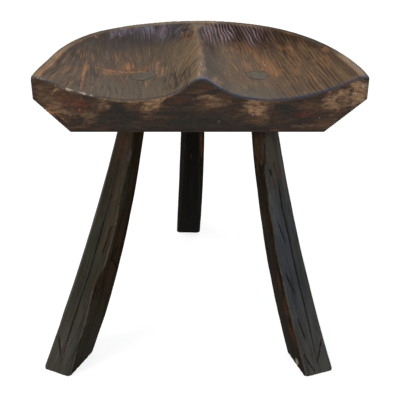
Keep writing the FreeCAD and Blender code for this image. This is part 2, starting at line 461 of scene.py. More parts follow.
# Streaks on top, in picture pixels: ink, strength, half width, path
topStreaks = [
    ("orange", 0.85, 1.1, [(95, 67), (104, 69.5), (116, 71.8), (127, 72.3), (145, 72.4), (158, 72.4)]),
    ("orange", 0.8, 2.2, [(86, 59), (85.4, 68), (83, 76), (82, 83)]),
    ("orange", 0.6, 0.9, [(118, 74), (122, 79), (126.8, 86)]),
    ("orange", 0.5, 0.8, [(129.3, 75), (126, 79), (123.5, 82)]),
    ("orange", 0.6, 1.1, [(145.5, 81), (146.8, 88)]), ("orange", 0.5, 0.8, [(113, 78), (112, 85)]),
    ("orange", 0.9, 1.4, [(66, 47), (63.6, 50.5), (58, 57), (52, 64), (44, 70), (36, 75.5)]),
    ("orange", 0.6, 0.8, [(72, 64), (66, 70), (60, 78)]),
    ("orange", 0.6, 0.8, [(79, 62), (73, 71), (67, 80), (64, 86)]),
    ("orange", 0.5, 0.8, [(64, 62), (57, 71), (50, 79)]),
    ("orange", 0.5, 0.8, [(76, 70), (71, 79), (68, 86)]),
    ("orange", 0.5, 0.8, [(89, 66), (90, 76), (88, 84)]), ("orange", 0.5, 0.8, [(106, 49), (108, 60)]),
    ("orange", 0.5, 0.8, [(114, 50), (117.4, 61)]), ("orange", 0.55, 0.8, [(136.6, 53), (138.8, 62)]),
    ("orange", 0.5, 0.9, [(148.6, 46), (149.9, 59)]), ("orange", 0.4, 0.8, [(155, 52), (154, 62)]),
    ("orange", 0.7, 1.0, [(200, 38), (200.6, 50), (199.6, 58)]),
    ("pale", 0.45, 1.0, [(200.4, 61), (201.6, 66)]), ("orange", 0.5, 0.9, [(205, 66), (207.5, 74)]),
    ("orange", 0.9, 1.8, [(188, 27), (193, 28.5), (196.5, 31)]),
    ("orange", 0.4, 1.2, [(181, 30), (184, 38)]), ("orange", 0.4, 1.0, [(214, 44), (217, 56)]),
    ("orange", 0.4, 1.0, [(222, 46), (226, 58)]), ("pale", 0.5, 0.9, [(264, 64.8), (265.5, 66)]),
    ("pale", 0.5, 1.2, [(49, 66), (51.6, 63)]), ("orange", 0.6, 1.0, [(95, 35.6), (97, 38.2)]),
    ("orange", 0.5, 1.2, [(79, 42), (82, 39.6)]),
    ("bed", 1.0, 1.6, [(176.5, 70), (174.5, 75), (176.5, 82)]),
    ("bed", 1.0, 1.6, [(181.5, 71), (179.5, 77), (181.5, 84)]),
    ("bed", 1.0, 1.5, [(186, 69), (184.5, 75), (185.5, 82)]), ("bed", 0.9, 1.4, [(171.5, 73), (170, 79)]),
    ("bed", 0.9, 1.4, [(190, 66), (189, 72), (190, 77)]), ("bed", 0.9, 1.3, [(166, 78), (164, 84)]),
    ("red", 0.7, 1.3, [(165, 29), (166.5, 34), (166, 38)]),
    ("orange", 0.7, 1.0, [(196, 31), (193, 38), (190, 44)]),
    ("orange", 0.6, 1.0, [(189, 29), (186, 36), (184, 43)]),
    ("orange", 0.6, 0.9, [(197, 45), (192, 53), (186, 60)]), ("slit", 0.7, 0.7, [(161, 89), (163, 92)]),
    ("slit", 0.7, 0.7, [(165, 87), (166, 90.5)]), ("slit", 0.7, 0.7, [(170, 84), (172, 89)]),
    ("slit", 0.6, 0.7, [(156, 91), (157.5, 94)]),
]
# Patches on top: ink, strength, x, y, half width, half height, lean. The bluish spots on the back wall are a
# painted reflection, and the pale spot at the left front corner is a painted glint
topSpots = [
    ("orange", 0.8, 128, 67, 9, 5), ("orange", 0.3, 142, 69, 12, 3.4, 3), ("orange", 0.25, 126, 60, 16, 8),
    ("orange", 0.8, 115, 72, 17, 3.6), ("tan", 0.7, 158, 70, 11, 9), ("tan", 0.3, 146, 80, 8, 5),
    ("tan", 0.65, 201, 64, 4.5, 27), ("tan", 0.8, 216, 84, 9, 7, 30), ("tan", 0.8, 200, 75, 4, 6),
    ("slit", 0.85, 240, 45, 17, 6, 15), ("slit", 0.25, 80, 52, 16, 9), ("bloom", 0.75, 117, 33, 20, 5, -10),
    ("bloom", 0.3, 212, 30, 7, 5), ("orange", 0.25, 245, 66, 9, 4, 20), ("slit", 0.42, 72, 70, 34, 24),
    ("slit", 0.4, 181, 82, 15, 8, -30), ("slit", 0.85, 293, 51, 28, 10, 35),
    ("slit", 0.6, 242, 43, 8, 5, 10), ("slit", 0.4, 291, 47, 12, 6, 35), ("orange", 0.4, 326, 50, 5, 4, 45),
    ("navy", 0.8, 176, 31, 10, 7), ("orange", 0.15, 190, 34, 6, 9, 25), ("slit", 0.9, 187, 32, 9, 9),
    ("slit", 0.75, 202, 31, 6, 5), ("slit", 0.4, 214, 32, 6, 8), ("tan", 0.7, 209, 24, 11, 3.4),
    ("pale", 0.25, 215, 22.5, 6, 2.4), ("slit", 0.45, 170, 38, 19, 5), ("slit", 0.35, 220, 38, 14, 4),
    ("slit", 0.35, 86, 57, 24, 12), ("bloom", 0.4, 144, 28, 11, 5), ("pale", 0.3, 36, 79, 6, 3, 20),
    ("slit", 0.8, 173, 86, 10, 4, -20), ("slit", 0.3, 186, 75, 8, 6), ("slit", 0.25, 52, 68, 14, 8, -40),
    ("orange", 0.65, 271, 69, 16, 8, 25), ("orange", 0.35, 259, 57, 14, 6, 30),
    ("orange", 0.5, 280, 48, 6, 4, 30), ("orange", 0.35, 327, 62, 10, 7, 45),
    ("orange", 0.3, 296, 60, 12, 8, 50), ("orange", 0.25, 247, 47, 14, 5, 30), ("red", 0.5, 166, 31, 3, 6),
    ("red", 0.35, 189, 36, 5, 5), ("slit", 0.35, 181, 76, 12, 7, -50), ("slit", 0.25, 262, 42, 22, 5, 22),
    ("slit", 0.25, 95, 48, 16, 8, -10), ("slit", 0.2, 212, 60, 8, 20, 10),
]

# Patches and streaks of the front, written in the same way
frontSpots = [
    ("brown", 0.75, 62, 102, 34, 19, 18), ("tan", 0.16, 50, 96, 16, 12, 30),
    ("red", 0.5, 68, 101, 15, 7, 5), ("red", 0.55, 81, 105, 8, 8), ("black", 0.3, 92, 121, 16, 7),
    ("tan", 0.4, 61, 111.5, 10, 2.2, 5), ("tan", 0.3, 56, 106, 10, 5, 20), ("tan", 0.3, 90, 115, 12, 4),
    ("brown", 0.6, 101, 105, 12, 8), ("tan", 0.2, 104, 106, 7, 5), ("black", 0.85, 124, 117, 20, 11),
    ("black", 0.5, 116, 104, 8, 5), ("brown", 0.5, 134, 106, 12, 7), ("brown", 0.7, 152, 107, 15, 10, -20),
    ("tan", 0.7, 153, 104, 11, 7, -24), ("tan", 0.45, 158, 100, 8, 3.5, -20),
    ("black", 0.8, 186, 120, 32, 10), ("red", 0.3, 178, 101, 14, 5), ("red", 0.2, 204, 87, 8, 4),
    ("brown", 0.85, 213, 100, 22, 6, 2), ("tan", 0.5, 205, 97, 11, 2.4), ("tan", 0.3, 214, 105, 16, 2.6, 3),
    ("black", 0.7, 222, 121, 30, 9), ("brown", 0.9, 256, 110, 17, 13, 15),
    ("tan", 0.6, 256, 108, 15, 8, 22), ("tan", 0.3, 130, 101, 9, 3, 5),
    ("orange", 0.35, 256, 101, 5, 3.4, 40), ("red", 0.7, 255, 105, 2.6, 2.4),
    ("black", 0.85, 286, 110, 9, 9), ("black", 0.35, 300, 99, 18, 4), ("brown", 0.5, 312, 107, 14, 9),
    ("red", 0.45, 303, 115, 14, 3.4), ("brown", 0.8, 336, 104, 19, 14), ("tan", 0.5, 334, 102, 13, 11),
    ("black", 0.7, 337.5, 100.5, 3.4, 3), ("tan", 0.9, 360, 93, 13, 16, 15),
    ("tan", 0.6, 343, 93, 8, 4, -20), ("tan", 0.4, 262, 101, 10, 3, 10), ("tan", 0.4, 260, 115, 10, 3, 15),
    ("orange", 0.9, 49, 113, 9, 4, 40), ("black", 0.5, 184, 107, 17, 4), ("black", 0.5, 159, 114, 9, 4),
    ("brown", 0.5, 90, 121, 9, 5), ("brown", 0.6, 258, 121, 15, 5), ("black", 0.35, 112, 100, 8, 3),
    ("tan", 0.3, 147, 106, 7, 4, -30), ("black", 0.8, 152, 129, 16, 4), ("black", 0.5, 350, 98, 3.4, 11, 8),
    ("brown", 0.4, 326, 122, 18, 6, -20), ("black", 0.4, 262, 127, 30, 3.5),
    ("tan", 0.25, 302, 126, 12, 2.4), ("pale", 0.15, 218.8, 121.8, 2.2, 1.6),
    ("brown", 0.6, 261, 98, 14, 4, 3), ("brown", 0.45, 270, 104, 7, 8), ("tan", 0.3, 214, 99, 8, 4),
    ("tan", 0.5, 352, 100, 11, 7), ("black", 0.35, 188, 106, 24, 3),
]
# The pale line along the front edge on the left, partly chipped wood and partly a painted highlight, and a
# painted glint at the corner
edgeStreaks = [
    ("pale", 0.85, 1.1, [(55, 85.8), (60, 87.2), (66, 88.9), (73, 90.7), (80, 92.6), (87, 94.4), (93, 95.8)]),
    ("pale", 0.5, 1.3, [(36, 77.4), (41, 78.4), (47, 80.4)]),
]
frontStreaks = [
    ("orange", 0.55, 1.0, [(44, 101), (54, 111), (66, 121.5), (71, 127)]),
    ("tan", 0.75, 0.9, [(59.5, 88.6), (55, 89.4), (52.5, 93), (53, 95)]),
    ("tan", 0.35, 1.0, [(98, 100.6), (120, 102), (145, 103)]),
    ("tan", 0.9, 1.5, [(164, 96), (157, 99.6), (151, 103), (146, 108)]),
    ("tan", 0.75, 1.2, [(168, 95), (158, 104), (150, 111)]),
    ("tan", 0.8, 1.1, [(197, 97.4), (206, 95.8), (213, 97.2)]),
    ("brown", 0.4, 1.4, [(190, 103), (210, 105.6), (232, 106)]),
    ("tan", 0.7, 1.2, [(241, 103), (252, 110.6), (266, 115.4)]),
    ("tan", 0.6, 1.0, [(244, 98), (254, 101), (258, 107)]),
    ("orange", 0.5, 0.9, [(268, 130.4), (280, 129.6)]), ("orange", 0.4, 1.0, [(308, 125.8), (315, 125)]),
    ("tan", 0.6, 1.0, [(322, 108), (330, 100), (344, 92), (358, 84)]),
    ("pale", 0.45, 0.9, [(362, 84), (364, 88)]), ("pale", 0.35, 0.9, [(366, 82), (367, 86)]),
    ("black", 0.6, 0.9, [(360, 92), (366, 95)]),
]
# Small pale dots where the front is chipped: x, y, radius, strength
frontChips = [
    (49.2, 108.6, 0.9, 0.35), (79.6, 109.9, 0.8, 0.35), (70.5, 114.9, 1.1, 0.25), (83.6, 124, 0.7, 0.2),
    (210, 97.4, 0.7, 0.5), (211.9, 103, 0.7, 0.3), (250.9, 106.4, 0.8, 0.5), (252.5, 115.3, 0.8, 0.55),
    (334.6, 99.3, 0.7, 0.6), (319.4, 118, 0.8, 0.25), (76, 103, 0.7, 0.2),
]


def readSeat(piece):
    zones = seatZones
    at = readPiece(piece)
    at.x = (at.points[:, 0] - seatMiddle) / mm
    at.y = (at.points[:, 1] - seatFront) / mm
    up = at.normals[:, 2]
    at.top = ease(up, *zones["facesUp"])
    at.front = ease(-at.normals[:, 1], *zones["facesFront"]) * ease(-at.y, *zones["frontSkin"])
    at.under = ease(-up, *zones["facesDown"])
    at.side = unit(1 - at.top - at.front - at.under)
    at.land = at.top * ease(at.z - seatTop, *zones["land"])
    at.dish = at.top - at.land
    at.steep = ease(1 - up, *zones["steep"]) * at.dish
    at.backWall = at.steep * ease(at.y / seatDeep, *zones["backShare"])
    at.right = ease(at.x, *zones["right"])
    at.left = 1 - at.right
    at.rightTip = at.dish * ease(at.x, *zones["rightTip"])
    at.leftTip = at.dish * ease(-at.x, *zones["leftTip"])
    at.flank = at.dish * between(at.x, *zones["flank"]) * (1 - ease(at.y, *zones["flankBack"]))
    # how far round the outline, and how far in from it
    angle = np.arctan2(at.y, at.x)
    at.turn = angle * outlineReach
    reach = np.hypot(at.x, at.y)
    step = angle / math.pi * outlineSteps
    fan = np.clip(step.astype(int), 0, outlineSteps)
    widest = np.zeros(outlineSteps + 1)
    upper = at.z > seatTop - 12
    np.maximum.at(widest, fan[upper], reach[upper])
    at.inset = np.interp(step, np.arange(outlineSteps + 1) + 0.5, widest) - reach
    return at


def fanAcross(at):
    # place across the gouge cuts in mm. They fan out to both tips and run down the ridge's left flank
    across, down = at.pixels.T
    lean = np.where(at.x < 0, np.interp(across, *leftFan), np.interp(across, *rightFan))
    loose = 1 + 1.3 * ease(at.y / seatDeep, *seatZones["looseShare"])
    wobble = (1.3 * noise(3, at.x / 23, down / 13) + 0.7 * noise(4, at.x / 7, down / 6)) * loose
    return (across - lean * (down - fanMiddle)) * pixelWidth + wobble


def seatRelief(at):
    look = seatLook
    at.across = fanAcross(at)
    down = at.pixels[:, 1]
    rightBeds, rightSlits = toolCuts(at.across, down, *look["rightWallCuts"])[:2]
    leftBeds, leftSlits, at.leftLuck = toolCuts(at.across, down, *look["leftWallCuts"])
    at.wallBeds = np.where(at.x < 0, leftBeds, rightBeds)
    at.wallSlits = np.where(at.x < 0, leftSlits, rightSlits)
    at.tipSlits, at.tipLuck = toolCuts(at.across, down, *look["tipCuts"])[1:]
    flankSlits = toolCuts(at.across, down, *look["flankCuts"])[1]
    uneven = 0.8 + 0.4 * noise(8, at.x / 40, at.y / 30)
    at.wall = at.backWall * (1 - 0.6 * at.leftTip)
    tip = at.rightTip * (1 - 0.7 * at.wall)
    at.wallLines = at.wall * at.left * at.wallSlits
    at.tipLines = tip * at.tipSlits
    at.flankLines = at.flank * flankSlits
    fine = roughNoise(31, at.across / 1.9, down / 6)
    inward = at.wall * at.right * uneven * look["rightWallDepth"] * (at.wallBeds - 0.4)
    inward += at.wall * at.left * uneven * look["leftWallDepth"] * (at.wallSlits + at.wallBeds - 0.5)
    inward += tip * uneven * look["tipDepth"] * (at.tipSlits - 0.15)
    inward += at.flank * look["flankDepth"] * (flankSlits - 0.15)
    inward += at.dish * 0.07 * fine

    adzeAcross = at.x + 3 * noise(7, at.x / 30, at.y / 30)
    at.adze = toolCuts(adzeAcross, at.y + 0.5 * at.z, *look["adzeCuts"])[0]
    sideAcross = at.turn + 2 * noise(9, at.turn / 20, at.z / 12)
    at.sideAdze = toolCuts(sideAcross, at.z + at.y * 0.1, *look["sideAdzeCuts"])[0]
    sawn = roughNoise(53, at.x / 26, at.z / 1.7, at.y / 9) * look["sawDepth"]
    swell = noise(57, at.x / 45, at.z / 22) * look["swellDepth"]
    at.chips = np.zeros(len(at.x))
    for x, y, radius, strength in frontChips:
        near = unit(1.3 - np.hypot(at.pixels[:, 0] - x, at.pixels[:, 1] - y) / radius)
        at.chips = np.maximum(at.chips, near * strength)
    dips = 0.2 * noise(61, at.x / 14, at.y / 14) + 0.1 * noise(62, at.x / 4, at.y / 4)
    inward += at.land * (0.12 + dips)
    inward += at.front * (sawn + swell + look["chipDepth"] * at.chips)
    behind = ease(at.y, *seatZones["behind"])
    inward += at.under * behind * look["adzeDepth"] * (at.adze - 0.45)
    inward += at.side * behind * look["sideAdzeDepth"] * (at.sideAdze - 0.45)
    # worn, uneven front edge of the hollows
    wornEdge = ease(-at.y, -4.5, -0.5) * ease(at.normals[:, 2], 0.05, 0.5)
    inward += wornEdge * look["wornEdgeDepth"] * noise(71, at.x / 6, at.x / 31)
    return inward


def topStainAndReflection(at):
    zones = seatZones
    size = len(at.x)
    down = at.pixels[:, 1]
    # both hollows, from their own ground colours to the marks of the gouge
    coat = Coat(seatInks, "leftDish", size)
    coat.lay("leftFront", 1 - ease(at.y, 10, 90))
    coat.lay("leftWall", at.backWall)
    # the ridge's left flank is lighter: tan wood and, where it faces the key lamp, painted light
    coat.lay("leftFlank", ease(at.x, -58, -18) * (1 - 0.75 * ease(at.y, 150, 215)))
    right = Coat(seatInks, "rightDish", size)
    right.lay("rightGrey", 1 - ease(at.y, 10, 70) * ease(at.x, 12, 50))
    right.lay("rightWall", at.backWall)
    right.lay("rightTip", ease(at.x, 80, 140) * (1 - 0.6 * at.backWall))
    coat.cover(right, at.right)

    # beds of the cuts are dark on the right wall, and the lines between cuts elsewhere
    wear = unit(0.5 + 0.9 * roughNoise(83, at.across / 9, at.y / 24))
    beds = ease(at.x, 4, 26) * at.wall * unit(at.wallBeds * 1.8)
    coat.lay("bed", 0.72 * beds)
    coat.lay("navy", 0.85 * at.wallLines)
    coat.lay("slit", 0.95 * at.tipLines)
    coat.lay("slit", 0.9 * at.flankLines)
    cuts = beds + at.wallLines + at.tipLines + at.flankLines
    coat.lay("crest", 0.4 * at.rightTip * wear * (at.tipLuck > 0.5) * (1 - at.tipSlits))
    streaks = ease(roughNoise(91, at.across / 2.6, at.y / 19), 0.25, 0.6)
    coat.lay("crest", streaks * wear * (0.2 + 0.35 * at.right) * (1 - at.backWall))

    # a painted bluish reflection on the crests of the back wall, plum on the right, and on the far right the
    # same painted reflection in the crest ink
    zone = ease(at.steep, 0.0, 0.5) * ease(at.y / seatDeep - 0.08 * at.left, *zones["bloomShare"])
    zone *= between(at.x, -168, -145, 120, 150) * (1 - 0.6 * ease(at.x, -70, -40) * at.left)
    stripes = unit(1.1 - 1.6 * at.wallSlits) * (0.25 + 0.75 * at.leftLuck)
    crest = unit(at.wallSlits * 1.7) * at.right + stripes * at.left
    patch = unit(0.72 + 0.55 * noise(95, at.x / 13, at.y / 25))
    at.bloom = unit(zone * crest * patch * 1.1)
    farRight = ease(at.x, *zones["farRight"])
    coat.lay("bloom", at.bloom * at.left)
    coat.lay("plumReflection", at.bloom * at.right * (1 - farRight))
    coat.lay("crest", 0.85 * at.bloom * at.right * farRight)

    # the flat rim: dark outside and along the right, then a warm worn line and a dark one
    rim = Coat(seatInks, "rim", size)
    rim.lay("leftDish", 0.3 + 0.6 * roughNoise(103, at.x / 16, at.y / 9))
    rim.lay("tan", 0.4 * np.maximum(ease(-at.x, 176, 194), ease(at.x, 188, 202)))
    outer = 1 - ease(at.inset + 1.5 * noise(104, at.turn / 20, at.z), 1.5, 5.5)
    rim.lay("rimOuter", outer * 0.75 * (1 - 0.6 * ease(at.y - seatDeep, -20, -5)))
    shady = (0.6 * ease(at.x, 20, 45) + 0.4 * ease(at.x, 80, 110)) * (1 - ease(at.x, 178, 196))
    shady += 0.6 * between(-at.x, 100, 130, 170, 188)
    rim.lay("rimShade", 0.9 * shady * ease(at.inset, 0.8, 2.2))
    at.dull = unit(shady * at.land + cuts)
    coat.cover(rim, at.land)
    warm = np.clip(0.35 + 0.9 * noise(107, at.turn / 30, at.z), 0.1, 1)
    line = at.top * between(at.inset, *zones["warmLine"]) * (at.y > 6)
    line *= 0.35 + 0.5 * at.right + 0.5 * ease(-at.x, 130, 165)
    coat.lay("orange", line * warm)
    dark = at.top * between(at.inset, *zones["darkLine"]) * (at.y > 12)
    dark *= 1 + 0.7 * shady * ease(at.x, 110, 140) - 0.85 * between(-at.x, 50, 80, 145, 165)
    coat.lay("slit", dark * 0.45)

    rag = unit(0.45 + 1.1 * roughNoise(99, at.across / 3.0, down / 6))
    coat.laySpots(at, topSpots, 7, 0.5, (5.0, 2.5), rag)
    # more painted reflection on the middle of the left back wall
    coat.lay("bloom", 0.5 * between(at.pixels[:, 0], 120, 140, 168, 180) * at.bloom * at.left)
    rag = unit(0.75 + 0.7 * noise(97, at.across / 2.2, down / 4))
    coat.layStreaks(at, topStreaks, 5, 0.4, rag)
    return coat.colour


def frontStainAndShade(at):
    coat = Coat(seatInks, "front", len(at.x))
    tone = roughNoise(111, at.x / 34, at.z / 7)
    coat.lay("black", ease(tone, 0.0, 0.5) * 0.6)
    coat.lay("brown", ease(-tone, 0.05, 0.6) * 0.5)
    lines = np.clip(0.85 + roughNoise(113, at.x / 5, at.z / 1.8), 0.15, 1.4)
    coat.laySpots(at, frontSpots, 9, 0.5, (4.0, 1.5), lines)
    coat.layStreaks(at, frontStreaks, 6, 0.4, lines)
    coat.colour *= (1 + 0.3 * roughNoise(115, at.x / 4.5, at.z / 1.9, at.y / 9))[:, None]
    coat.lay("pale", at.chips)
    # painted shade: the front darkens along its bottom edge
    low = ease(at.z - seatBottom, 0.5, 8)
    return coat.colour * (0.5 + 0.5 * low)[:, None]


def edgeStainAndReflection(at, coat):
    # the rounded front edge: a painted slate-blue reflection on the nose and the right, and on the left a
    # pale line and dark, partly chipped wood and partly a painted highlight. Places along it are picture
    # pixels
    up = at.normals[:, 2]
    along = at.pixels[:, 0]
    wide = 2.0 * ease(along, 222, 232) - 0.5 * ease(along, 262, 285) + 1.6 * ease(along, 318, 345)
    near = ease(wide - at.y, -5.5, -3.0)
    leftLobe = between(along, 36, 60, 165, 192)
    noseTop = between(along, 192, 199, 217, 226)
    chipped = between(along, 50, 60, 88, 100)
    slate = near * ease(up, 0.35 + 0.2 * leftLobe, 0.6 + 0.15 * leftLobe)
    slate *= (1 - leftLobe * ease(up, 0.95, 0.99)) * (1 - 0.6 * chipped)
    slate = np.maximum(slate, noseTop * ease(up, 0.1, 0.4) * ease(-at.y, -9.0, -5.0))
    at.slate = slate * np.clip(0.85 + 0.5 * noise(121, at.x / 9, at.x / 40), 0.3, 1)
    below = near * leftLobe * between(up, 0.15, 0.35, 0.55, 0.8)
    grains = ease(noise(123, at.x / 2.2, at.z / 2.0), -0.5, 0.4)
    coat.lay("slate", at.slate * (0.95 - 0.25 * leftLobe))
    # a paler painted highlight on the nose of the ridge
    coat.lay("bloom", 0.6 * at.slate * noseTop * ease(up, 0.5, 0.8))
    coat.lay("tan", below * ease(along, 92, 105) * (0.3 + 0.4 * grains))
    coat.layStreaks(at, edgeStreaks, 8, 0.6, 0.2 + 0.8 * grains)


def carveSeat():
    piece = finePiece("hewn_seat", "seat", seatLook)
    at = readSeat(piece)
    carve(piece, at, seatRelief(at))

    size = len(at.x)
    side = Coat(seatInks, "brown", size)
    side.lay("black", 0.5 + 0.8 * roughNoise(117, at.turn / 24, at.z / 9))
    side.lay("tan", 0.35 * (1 - unit(at.sideAdze * 1.6)))
    coat = Coat(seatInks, "under", size)
    coat.lay("brown", 0.5 * (1 - unit(at.adze * 1.5)))
    front = at.front * (1 - at.top)
    coat.colour = (topStainAndReflection(at) * at.top[:, None] + frontStainAndShade(at) * front[:, None]
                   + coat.colour * at.under[:, None] + side.colour * at.side[:, None])
    coat.colour /= np.maximum(at.top + front + at.under + at.side, 0.2)[:, None]
    edgeStainAndReflection(at, coat)
    keepColour(piece, "stainAndPaintedLight", coat.colour, 1 - (0.34 + 0.42 * at.dull) * at.top)

    across = at.across * at.top + at.z * (1 - at.top) * (1 - at.under) + at.y * at.under
    along = at.y * at.top + at.x * (1 - at.top)
    apart = 40 * at.front + 80 * at.under + 120 * at.side
    keepVector(piece, "grain", np.stack([across, along, apart], 1))
    calm = at.dish * (1 - 0.8 * at.wall)
    tipPart = at.leftTip * (1 - ease(at.y, 90, 130))
    leftScratch = at.left * (0.1 + 0.45 * tipPart + 0.35 * between(at.y, 50, 90, 130, 160))
    rightScratch = at.right * ease(at.x, 20, 50) * (0.2 + 0.5 * ease(at.y, 40, 80))
    rightScratch *= 1 - 0.4 * ease(at.x, 120, 180)
    scratch = calm * (leftScratch + rightScratch) * (1 - ease(at.x, -60, -30) * at.left)
    lines = calm * (0.75 - 0.35 * at.right) + 0.35 * at.front
    polish = unit(0.4 * at.slate + 0.6 * at.bloom)
    keepColour(piece, "marks", np.stack([scratch, polish, lines], 1))
    return piece


seatFinish = {
    "shine": 0.125, "roughness": 0.55,
    "fibreScale": (0.75, 0.05, 1.0), "fibreContrast": (0.6, 1.4),
    "broadScale": (0.12, 0.02, 1.0), "broadContrast": (0.83, 1.17),
    "lineScale": (0.5, 0.022, 1.0), "lineDarkness": 0.5,
    "scratchScale": (0.62, 0.03, 1.0), "scratchInk": tuple(ink(134, 92, 56)),
    "speckScale": 700.0, "speckContrast": (0.86, 1.14),
    "bumpStrength": 0.75, "bumpDepth": 0.35 * mm,
}

# The legs: bowed, hewn in long strips, checked by drying
legLook = {
    "grid": 1.05 * mm,
    "stretch": (1.0, 1.0, 1.6),
    "stripWidth": 10.5,
    "stripLength": 120.0,
    "stripDepth": 0.6,
    "hewnDepth": 0.3,
    "grainDepth": 0.12,
    "checkWidth": 0.85,
    "checkGap": 12,
    "checkLength": 115,
    "checkRarity": 0.6,
    "checkDepth": 1.6,
    "chipDepth": 1.5,
    "tenonTop": 402.0,
    "tenonSwell": 1.1,
    "tenonRise": 0.3,
}
legInks = {
    "wood": ink(50, 49, 39),
    "crown": ink(74, 67, 57),
    "brown": ink(68, 52, 38),
    # the next ink is dark brown wood, darker partly as painted shade on the inner faces turned away from the
    # light
    "inner": ink(35, 27, 17),
    "slate": ink(58, 62, 67),
    "foot": ink(74, 72, 66),
    "olive": ink(42, 41, 33),
    "rust": ink(86, 52, 24),
    "red": ink(110, 46, 26),
    "violet": ink(74, 66, 68),
    "check": ink(16, 13, 11),
    # the next ink is a painted highlight along the legs' edges
    "arrisHighlight": ink(80, 75, 66),
    "tenon": ink(82, 74, 61),
    "chip": ink(170, 160, 136),
    # the next ink is a dark sooty tone on the legs and painted shade on the rear leg's sides; the one after
    # is painted shade on the rear leg's front under the seat
    "sootAndShade": ink(26, 23, 18),
    "shadeUnderSeat": ink(9, 8, 5),
}
